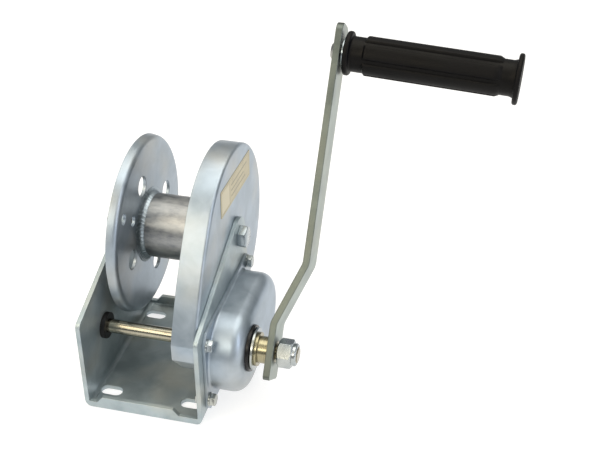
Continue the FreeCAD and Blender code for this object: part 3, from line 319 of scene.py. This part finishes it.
def label_film():
    film = {"Metallic": 0.35, "IOR": 1.58, "Coat Weight": 0.3, "Coat Roughness": 0.2}
    material, tree, shader, place = start_finish("label_film", film)
    flat = add(tree, "ShaderNodeMapping", {"Vector": place, "Location": tuple(label_middle),
                                           "Rotation": (LABEL_TILT, 0.0, 0.0)}, vector_type="TEXTURE")
    across = add(tree, "ShaderNodeSeparateXYZ", {"Vector": flat.outputs["Vector"]})
    fade = add(tree, "ShaderNodeTexNoise", {"Vector": place, "Scale": 1 / (12 * MM), "Detail": 3.0})
    gold = add(tree, "ShaderNodeValToRGB", {"Fac": fade.outputs["Fac"]},
               stops=[(0.35, "#A0936B"), (0.65, "#B3A77D")])

    def paint(under, over, middle_u, half_u, middle_v=0.0, half_v=LABEL_HIGH / 2 - PRINT_MARGIN):
        """One more layer of print: the colour over inside a rectangle, the colour under outside it."""
        in_u = add(tree, "ShaderNodeMath", {0: across.outputs["Y"], 1: middle_u, 2: half_u},
                   operation="COMPARE")
        in_v = add(tree, "ShaderNodeMath", {0: across.outputs["Z"], 1: middle_v, 2: half_v},
                   operation="COMPARE")
        both = add(tree, "ShaderNodeMath", {0: in_u.outputs["Value"], 1: in_v.outputs["Value"]},
                   operation="MULTIPLY")
        layer = add(tree, "ShaderNodeMixRGB", {"Fac": both.outputs["Value"], "Color1": under, "Color2": over})
        return layer.outputs["Color"]

    ink = linear("#77704F")
    print_long = LABEL_LONG / 2 - PRINT_MARGIN
    print_high = LABEL_HIGH / 2 - PRINT_MARGIN
    colour = paint(gold.outputs["Color"], ink, 0.0, print_long)
    colour = paint(colour, gold.outputs["Color"], 0.0, print_long - LINE, half_v=print_high - LINE)
    divide = FIELD_LONG + 2 * PRINT_MARGIN - print_long
    colour = paint(colour, ink, divide, LINE / 2)
    colour = paint(colour, linear("#BDB391"), divide - PRINT_MARGIN - FIELD_LONG / 2, FIELD_LONG / 2,
                   half_v=print_high - PRINT_MARGIN)
    bar_start = divide + 4 * MM
    for level, share in ((1, 0.9), (0, 0.72), (-1, 0.82)):
        half_long = (print_long - 3 * MM - bar_start) * share / 2
        colour = paint(colour, ink, bar_start + half_long, half_long, level * BAR_PITCH, BAR_HIGH / 2)
    tree.links.new(colour, shader.inputs["Base Color"])
    shine = add(tree, "ShaderNodeMapRange", {"Value": fade.outputs["Fac"], "To Min": 0.3, "To Max": 0.42})
    tree.links.new(shine.outputs["Result"], shader.inputs["Roughness"])
    return material


finish["label_film"] = label_film()
print("label centre, mm:", [round(v / MM, 1) for v in label_middle])

# %% [markdown]
# ## Pieces kept as they are, but with real edges
#
# A real edge is never perfectly sharp: sheared sheet has a rolled-over edge, a screw head has worn corners,
# and plating builds up there. That thin rounded line is what catches light. A bevel node in a material
# would only fake it, so the edge is made in the mesh: the piece is copied, its triangles are merged back
# into flat faces, and every edge sharper than an angle is rounded by a real radius.

# %% Rounding the edges of a piece
EDGE_ANGLE = math.radians(30)       # edges sharper than this are rounded
FLAT_ANGLE = math.radians(0.5)      # triangles flatter to each other than this are one face
WELD_APART = 0.002 * MM             # points closer than this are one point
piece_slot = {row["node"]: row["material_slot"] for row in frame["record"]["subparts"]}
piece_body = {node: body for body, nodes in frame["record"]["behaviour"]["bodies"].items() for node in nodes}
collection = bpy.context.scene.collection


def show(mesh, node):
    """Put a finished mesh in the scene in place of a CAD node, on its body and with its finish."""
    piece = bpy.data.objects.new(node + "_finished", mesh)
    collection.objects.link(piece)
    mesh.materials.clear()
    mesh.materials.append(finish[piece_slot[node]])
    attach(piece, piece_body[node])
    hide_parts(node)


def round_edges(mesh, radius):
    """The same mesh with its sharp edges rounded in two steps, as a new mesh."""
    for polygon in mesh.polygons:
        polygon.use_smooth = True
    mesh.set_sharp_from_angle(angle=EDGE_ANGLE)
    scratch = bpy.data.objects.new("scratch", mesh)
    collection.objects.link(scratch)
    bevel = scratch.modifiers.new("edge", "BEVEL")
    bevel.width = radius
    bevel.segments = 2
    bevel.limit_method = "ANGLE"
    bevel.angle_limit = EDGE_ANGLE
    bevel.use_clamp_overlap = False
    bevel.harden_normals = True
    bevel.miter_outer = "MITER_ARC"
    bpy.context.view_layer.update()
    seen = scratch.evaluated_get(bpy.context.evaluated_depsgraph_get())
    result = bpy.data.meshes.new_from_object(seen)
    bpy.data.objects.remove(scratch)
    return result


def softened(node, radius):
    """A CAD node's mesh, merged back into flat faces and with its edges rounded."""
    shape = bmesh.new()
    shape.from_mesh(frame["nodes"][node].data)
    bmesh.ops.remove_doubles(shape, verts=shape.verts, dist=WELD_APART)
    bmesh.ops.dissolve_limit(shape, angle_limit=FLAT_ANGLE, verts=shape.verts, edges=shape.edges)
    mesh = bpy.data.meshes.new(node + "_finished")
    shape.to_mesh(mesh)
    shape.free()
    return round_edges(mesh, radius)


# radius of the edges in mm: pressed and sheared sheet has the largest, washers and rings the smallest
edge_of = {
    "frame_bracket": 0.5, "gear_cover": 0.35, "brake_cover": 0.4, "data_label": 0.08,
    "cover_bolts": 0.25, "cover_washers": 0.2, "cover_nuts": 0.2, "cover_seal": 0.3,
    "drum_axle": 0.35, "axle_washer": 0.25, "axle_nut": 0.35, "bush_left": 0.35,
    "drum_flange": 0.4, "drum_gear": 0.2, "crank_arm": 0.7, "brake_hub": 0.3, "hub_ring": 0.3,
    "lock_nut": 0.4, "handle_pin": 0.4, "handle_washer": 0.25, "drum_tube": 0.3,
}
for node, radius in edge_of.items():
    show(softened(node, radius * MM), node)
print("pieces with rounded edges:", len(edge_of))

# %% [markdown]
# ## The weld beads
#
# A welder works round the tube in short steps, so a bead is a chain of overlapping, slightly curved scales
# with an uneven toe. It could be a bump in the material, but it stands over 5 mm proud and shows in
# outline, so it is modelled: a hollow section is swept round the tube, and each station is swelled a little
# by where it lies in its scale and by a slow wander.

# %% Weld beads
drum_low, drum_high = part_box("drum_tube")
drum_middle = (drum_low + drum_high) / 2
TUBE_RADIUS = (drum_high.y - drum_low.y) / 2
WELD_LEG = 5.5 * MM
SCALE_STEP = 3.2 * MM      # one ripple of the bead
SCALE_LAG = 0.35           # how far the middle of a ripple trails its ends, as a share of the step
SECTION_STEPS = 8
STATIONS_IN_RIPPLE = 8
SINK_IN_TUBE = 0.5 * MM    # the bead's hidden back lies a little inside its neighbours
SINK_IN_FACE = 0.3 * MM
SWELL_LEAST = 0.88         # size of the bead at the end of a ripple, as a share of the leg
SWELL_RISE = 0.20          # and how much larger it is at the start
WANDER = 0.12              # the welder's unsteady hand
RIPPLES = round(2 * math.pi * TUBE_RADIUS / SCALE_STEP)


def mesh_from_rings(name, rings, closed_along=False):
    """A mesh from closed rings of points; each is joined to the next, and closed_along joins the ends."""
    count = len(rings[0])
    points = [point for ring in rings for point in ring]
    faces = []
    for k in range(len(rings) if closed_along else len(rings) - 1):
        here = k * count
        after = (k + 1) % len(rings) * count
        for j in range(count):
            step = (j + 1) % count
            faces.append((here + j, here + step, after + step, after + j))
    mesh = bpy.data.meshes.new(name)
    mesh.from_pydata(points, [], faces)
    mesh.update()
    return mesh


def outward(mesh):
    """Turn every face of a closed mesh to face out."""
    shape = bmesh.new()
    shape.from_mesh(mesh)
    bmesh.ops.recalc_face_normals(shape, faces=shape.faces)
    shape.to_mesh(mesh)
    shape.free()
    for polygon in mesh.polygons:
        polygon.use_smooth = True
    return mesh


def bead_ring(turn, swell, face_x, direction):
    """The bead's section at one place round the tube: from the tube up to the face, and back inside."""
    ring = []
    for j in range(SECTION_STEPS + 1):
        share = j / SECTION_STEPS
        bow = 0.62 + 0.10 * math.sin(math.pi * share)      # a little hollow, most so in the middle
        along = WELD_LEG * swell * ((1 - share) * (1 - bow) + (1 - share) ** 2 * bow)
        up = WELD_LEG * swell * (share * (1 - bow) + share ** 2 * bow)
        lag = SCALE_LAG * SCALE_STEP / TUBE_RADIUS * math.sin(math.pi * share)
        ring.append((face_x + direction * min(along, WELD_LEG), TUBE_RADIUS + min(up, WELD_LEG), turn - lag))
    behind = face_x - direction * SINK_IN_FACE
    buried = TUBE_RADIUS - SINK_IN_TUBE
    ring += [(behind, TUBE_RADIUS + WELD_LEG, turn), (behind, buried, turn),
             (face_x + direction * WELD_LEG, buried, turn)]
    return [(x, drum_middle.y + radius * math.cos(angle), drum_middle.z + radius * math.sin(angle))
            for x, radius, angle in ring]


def weld_bead(node, face_x, direction):
    """A fillet weld between the tube and the face at face_x."""
    rings = []
    for k in range(RIPPLES * STATIONS_IN_RIPPLE):
        turn = 2 * math.pi * k / (RIPPLES * STATIONS_IN_RIPPLE)
        in_scale = turn * RIPPLES / (2 * math.pi) % 1
        scale = SWELL_LEAST + SWELL_RISE * (1 - in_scale) ** 1.5
        wander = noise.noise(Vector((math.cos(turn), math.sin(turn), direction)) * 2.5) * WANDER
        rings.append(bead_ring(turn, scale + wander, face_x, direction))
    show(outward(mesh_from_rings(node + "_bead", rings, closed_along=True)), node)


weld_bead("flange_weld", drum_low.x, 1)
weld_bead("gear_weld", drum_high.x, -1)
print("ripples in each bead:", RIPPLES)

# %% [markdown]
# ## The shaft and its thread
#
# The shaft is ground where it runs in its bushes and threaded where the crank hub screws on. Only its outer
# end shows its thread, past the lock nut, so only the last stretch gets one. A thread is a radius that
# depends on the place along the shaft and on the angle together: a sawtooth of one minus the other is a
# true helix, with no sweeping and no seams.

# %% Shaft with a cut thread
shaft_low, shaft_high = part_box("pinion_shaft")
hub_low, hub_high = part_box("brake_hub")
shaft_y = (hub_low.y + hub_high.y) / 2
shaft_z = (hub_low.z + hub_high.z) / 2
SHAFT_RADIUS = 6 * MM
SEAT_RADIUS = 8 * MM
THREAD_RADIUS = 7 * MM
THREAD_PITCH = 2 * MM
THREAD_DEPTH = 1.0 * MM
FLANK = 0.8                # share of the pitch that the two flanks take; the rest is the flat crest
RUN_OUT = 1.1              # slope of the chamfer at the shaft's end
HIDDEN_THREAD = 4 * MM     # the thread starts this far inside the arm
END_CHAMFER = 0.6 * MM
GROOVE_DEPTH = 0.8 * MM    # for the clip
ROUND = 96                 # points round the shaft
STATIONS_IN_PITCH = 12
SHARP_ANGLE = math.radians(40)


def thread_radius(x, turn):
    """Radius of the thread at x and turn, with flat crests and a chamfer that runs out at the end."""
    phase = (x / THREAD_PITCH - turn / (2 * math.pi)) % 1
    height = min(abs(phase - 0.5) * 2 / FLANK, 1.0)
    root = THREAD_RADIUS - THREAD_DEPTH
    return min(root + THREAD_DEPTH * height, root + (shaft_high.x - x) * RUN_OUT)


def shaft_ring(x, radius_at):
    """A ring round the shaft at x, with the radius that radius_at gives for each angle."""
    ring = []
    for j in range(ROUND):
        turn = 2 * math.pi * j / ROUND
        radius = radius_at(turn)
        ring.append((x, shaft_y + radius * math.cos(turn), shaft_z + radius * math.sin(turn)))
    return ring


def closed_lathe(name, rings):
    """Rings closed by a flat cap at each end."""
    mesh = mesh_from_rings(name, rings)
    shape = bmesh.new()
    shape.from_mesh(mesh)
    bmesh.ops.holes_fill(shape, edges=shape.edges, sides=0)
    shape.to_mesh(mesh)
    shape.free()
    mesh = outward(mesh)
    mesh.set_sharp_from_angle(angle=SHARP_ANGLE)
    return mesh


pinion_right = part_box("pinion")[1].x
seat_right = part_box("inner_disc")[1].x
thread_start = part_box("crank_arm")[0].x + HIDDEN_THREAD
clip_low, clip_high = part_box("shaft_clip")
plain = [(shaft_low.x, SHAFT_RADIUS - END_CHAMFER), (shaft_low.x + END_CHAMFER, SHAFT_RADIUS),
         (clip_low.x, SHAFT_RADIUS), (clip_low.x, SHAFT_RADIUS - GROOVE_DEPTH),
         (clip_high.x, SHAFT_RADIUS - GROOVE_DEPTH), (clip_high.x, SHAFT_RADIUS),
         (pinion_right, SHAFT_RADIUS), (pinion_right, SEAT_RADIUS), (seat_right, SEAT_RADIUS),
         (seat_right, THREAD_RADIUS), (thread_start, THREAD_RADIUS)]
rings = [shaft_ring(x, lambda turn: radius) for x, radius in plain]
steps = round((shaft_high.x - thread_start) / (THREAD_PITCH / STATIONS_IN_PITCH))
for k in range(steps + 1):
    x = thread_start + (shaft_high.x - thread_start) * k / steps
    rings.append(shaft_ring(x, lambda turn: thread_radius(x, turn)))
show(closed_lathe("pinion_shaft_threaded", rings), "pinion_shaft")
print("thread rings:", steps + 1)

# %% [markdown]
# ## The grip
#
# The handle is a moulded rubber sleeve: a thin flange by the arm, a plain neck, six raised panels with
# grooves between them, another neck and a wide end flange. Boolean cuts would leave its edges sharp, and
# rubber has none. So the whole skin is one grid whose radius is a formula: smooth steps raise the panels,
# drop the grooves and round the flanges, and the grid is fine enough to hold each round.

# %% Rubber grip
GRIP_LONG = 147 * MM
NECK = 15 * MM
PANEL = 16.8 * MM
INNER_FLANGE = 18.75 * MM
END_FLANGE = 21.25 * MM
INNER_FLANGE_THICK = 5 * MM
END_FLANGE_THICK = 4.5 * MM
RIM_ROUND = 1.9 * MM       # the flanges' rims
NECK_FILLET = 1.8 * MM     # where a flange meets the neck
PANELS = 6
PANEL_RAMP = 2.2 * MM      # a panel rises over this length at its ends
GROOVE_SOFT = 0.8 * MM     # half the width of a groove's rounded wall
GROOVE_SINK = 0.3 * MM     # a groove's floor lies this much under the neck
GROOVE_WIDE = 4 * MM
GROOVE_TURN = math.radians(35)     # how far the grooves are turned on from the level
PANEL_START = 16 * MM
PANEL_STOP = GRIP_LONG - 15.5 * MM
GRIP_BORE = 10 * MM
GRIP_ROUND = 144           # points round the grip
grip_joint = next(joint for joint in frame["joints"] if joint["name"] == "grip_spin")
grip_axis = Vector(grip_joint["axis"]).normalized()
washer_low, washer_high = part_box("handle_washer")
washer_middle = (washer_low + washer_high) / 2
WASHER_THICK = 1.6 * MM
WASHER_GAP = 0.3 * MM
grip_start = washer_middle + grip_axis * (WASHER_THICK / 2 + WASHER_GAP)
side = grip_axis.cross(Vector((0, 1, 0))).normalized()
up = side.cross(grip_axis).normalized()


def smooth_step(value, low, high):
    share = max(0.0, min(1.0, (value - low) / (high - low)))
    return share * share * (3 - 2 * share)


def flange(s, start, stop, radius):
    """A flange between two places along the grip: rounds at its rim, a fillet where it meets the neck."""
    if start <= s <= stop:
        inset = RIM_ROUND - min(s - start, stop - s, RIM_ROUND)
        return radius - RIM_ROUND + math.sqrt(max(0.0, RIM_ROUND ** 2 - inset ** 2))
    gap = start - s if s < start else s - stop
    if gap < NECK_FILLET:
        return NECK + NECK_FILLET - math.sqrt(max(0.0, NECK_FILLET ** 2 - (NECK_FILLET - gap) ** 2))
    return NECK


def grip_radius(s, turn):
    """The skin's radius at s along the grip and at an angle round it."""
    rise = (smooth_step(s, PANEL_START, PANEL_START + PANEL_RAMP)
            * (1 - smooth_step(s, PANEL_STOP - PANEL_RAMP, PANEL_STOP)))
    sector = 2 * math.pi / PANELS
    from_groove = abs((turn - GROOVE_TURN + sector / 2) % sector - sector / 2) * PANEL
    wall = smooth_step(from_groove, GROOVE_WIDE / 2 - GROOVE_SOFT, GROOVE_WIDE / 2 + GROOVE_SOFT)
    body = NECK + (PANEL - NECK) * rise * wall - GROOVE_SINK * rise * (1 - wall)
    inner = flange(s, 0.0, INNER_FLANGE_THICK, INNER_FLANGE)
    outer = flange(s, GRIP_LONG - END_FLANGE_THICK, GRIP_LONG, END_FLANGE)
    return max(body, inner, outer)


def grip_ring(s, radius_at):
    """A ring round the grip at s along it, with the radius that radius_at gives for each angle."""
    centre = grip_start + grip_axis * s
    ring = []
    for j in range(GRIP_ROUND):
        turn = 2 * math.pi * j / GRIP_ROUND
        ring.append(centre + (side * math.cos(turn) + up * math.sin(turn)) * radius_at(turn))
    return ring


def grip_stations():
    """Close together where the radius changes, wider along the plain stretches."""
    places = []
    s = 0.0
    while s < GRIP_LONG:
        places.append(s)
        in_flange = min(s, GRIP_LONG - s) < 7 * MM
        in_ramp = min(abs(s - PANEL_START - 1 * MM), abs(s - PANEL_STOP + 1 * MM)) < 2.5 * MM
        s += 0.25 * MM if in_flange else 0.35 * MM if in_ramp else 3 * MM
    return places + [GRIP_LONG]


# only the first 6 mm of the bore is made, since the steel tube and its pin fill the rest and hide it;
# then the profile goes out over the face against the washer
bore = [(6 * MM, GRIP_BORE), (0.5 * MM, GRIP_BORE), (0.0, GRIP_BORE + 0.5 * MM), (0.0, 14 * MM)]
rings = [grip_ring(s, lambda turn: radius) for s, radius in bore]
for s in grip_stations():
    rings.append(grip_ring(s, lambda turn: grip_radius(s, turn)))
# the end face is a shallow dish with a moulded pip in its middle: radius and depth in mm
dish = [(18.6, 0.0), (18.0, 0.15), (17.2, 0.5), (12.0, 0.62),
        (4.2, 0.65), (3.6, 0.45), (3.0, 0.4), (0.4, 0.4)]
for radius, depth in dish:
    rings.append(grip_ring(GRIP_LONG - depth * MM, lambda turn: radius * MM))
show(closed_lathe("grip_skin", rings), "grip")
print("grip stations:", len(rings), "axis:", [round(v, 4) for v in grip_axis])

# %% [markdown]
# ## What stays as the CAD made it
#
# The pieces inside the brake and the drum are seen only when the winch is taken apart, and the clip at the
# shaft's left end is small. Their turned and cut shapes are right, so they keep their meshes and get only
# their finish.

# %% Finishes of the remaining pieces
replaced = set(edge_of) | {"flange_weld", "gear_weld", "pinion_shaft", "grip"}
for node, piece in frame["nodes"].items():
    if node not in replaced:
        piece.data.materials.clear()
        piece.data.materials.append(finish[piece_slot[node]])
print("CAD pieces kept:", sorted(set(frame["nodes"]) - replaced))

# %% [markdown]
# ## The table
#
# A catalogue picture of plated steel is taken on a white acrylic table that is lit from below, so that
# almost no shadow is left. It is a plain grey plastic that also gives light, and the light is what makes
# the ground white.

# %% Table
TABLE_REACH = 6.0
GLOW = 0.72
corners = [(-TABLE_REACH, -TABLE_REACH, 0), (TABLE_REACH, -TABLE_REACH, 0), (TABLE_REACH, TABLE_REACH, 0),
           (-TABLE_REACH, TABLE_REACH, 0)]
table_mesh = bpy.data.meshes.new("studio_table")
table_mesh.from_pydata(corners, [], [(0, 1, 2, 3)])
table = bpy.data.objects.new("studio_table", table_mesh)
collection.objects.link(table)
acrylic = bpy.data.materials.new("lit_acrylic")
acrylic.use_nodes = True
surface = acrylic.node_tree.nodes["Principled BSDF"]
surface.inputs["Base Color"].default_value = linear("#A8A8A8")
surface.inputs["Roughness"].default_value = 0.8
surface.inputs["Emission Color"].default_value = linear("#FFFFFF")
surface.inputs["Emission Strength"].default_value = GLOW
table_mesh.materials.append(acrylic)
print("table glow:", GLOW)

# %% [markdown]
# ## The room and the lamps
#
# A metal's look is what it mirrors. Faces turned to the front mirror the table, and faces turned up mirror
# the ceiling and the soft boxes. The walls of the room are darker, so the bright bands have edges, and the
# light from the upper left is warm, which gives the covers their straw coloured side.

# %% Room and soft boxes
world = bpy.data.worlds.new("studio_room")
bpy.context.scene.world = world
world.use_nodes = True
room = world.node_tree
sky = add(room, "ShaderNodeTexCoord")
height = add(room, "ShaderNodeSeparateXYZ", {"Vector": sky.outputs["Generated"]})
shade = add(room, "ShaderNodeValToRGB", {"Fac": height.outputs["Z"]},
            stops=[(0.0, "#989A9C"), (0.2, "#84878A"), (0.55, "#BCBBB6"), (1.0, "#F8F4E8")])
room.links.new(shade.outputs["Color"], room.nodes["Background"].inputs["Color"])
room.nodes["Background"].inputs["Strength"].default_value = 1.0
WINCH_MIDDLE = Vector((0.08, 0.02, 0.1))


def soft_box(name, place, size, power, colour):
    """A rectangular lamp of size metres, turned to the middle of the winch, with power in watts."""
    light = bpy.data.lights.new(name, "AREA")
    light.shape = "RECTANGLE"
    light.size, light.size_y = size
    light.energy = power
    light.color = linear(colour)[:3]
    lamp = bpy.data.objects.new(name, light)
    lamp.location = place
    lamp.rotation_euler = (WINCH_MIDDLE - Vector(place)).to_track_quat("-Z", "Y").to_euler()
    collection.objects.link(lamp)


soft_box("key_left", (-0.9, -0.8, 1.3), (1.0, 0.8), 9, "#FFF0D6")
soft_box("front", (-0.2, -1.5, 1.15), (0.9, 0.5), 6, "#FFF8E6")
soft_box("top", (0.2, 0.3, 1.7), (1.4, 1.4), 13, "#FFFBF2")
soft_box("right_strip", (1.3, -0.5, 0.8), (0.35, 1.2), 5, "#F2F5FF")
print("lamps:", sorted(light.name for light in bpy.data.lights))

# %% [markdown]
# ## The camera
#
# The winch is seen from the front right and from above, as it lies on the table, with a lens a little
# longer than normal so that its parallel edges stay nearly parallel.

# %% Camera
LENS = 65.17
CAMERA_PLACE = (0.2923, -0.7098, 0.6379)
CAMERA_LOOK = (-0.1999, 0.8148, -0.5440)
camera_data = bpy.data.cameras.new("camera")
camera_data.sensor_width = 36.0
camera_data.lens = LENS
camera_data.clip_start = 0.01
camera = bpy.data.objects.new("camera", camera_data)
camera.location = CAMERA_PLACE
camera.rotation_euler = Vector(CAMERA_LOOK).to_track_quat("-Z", "Y").to_euler()
collection.objects.link(camera)
bpy.context.scene.camera = camera
bpy.context.scene.view_settings.view_transform = "Standard"
print("lens, mm:", LENS)
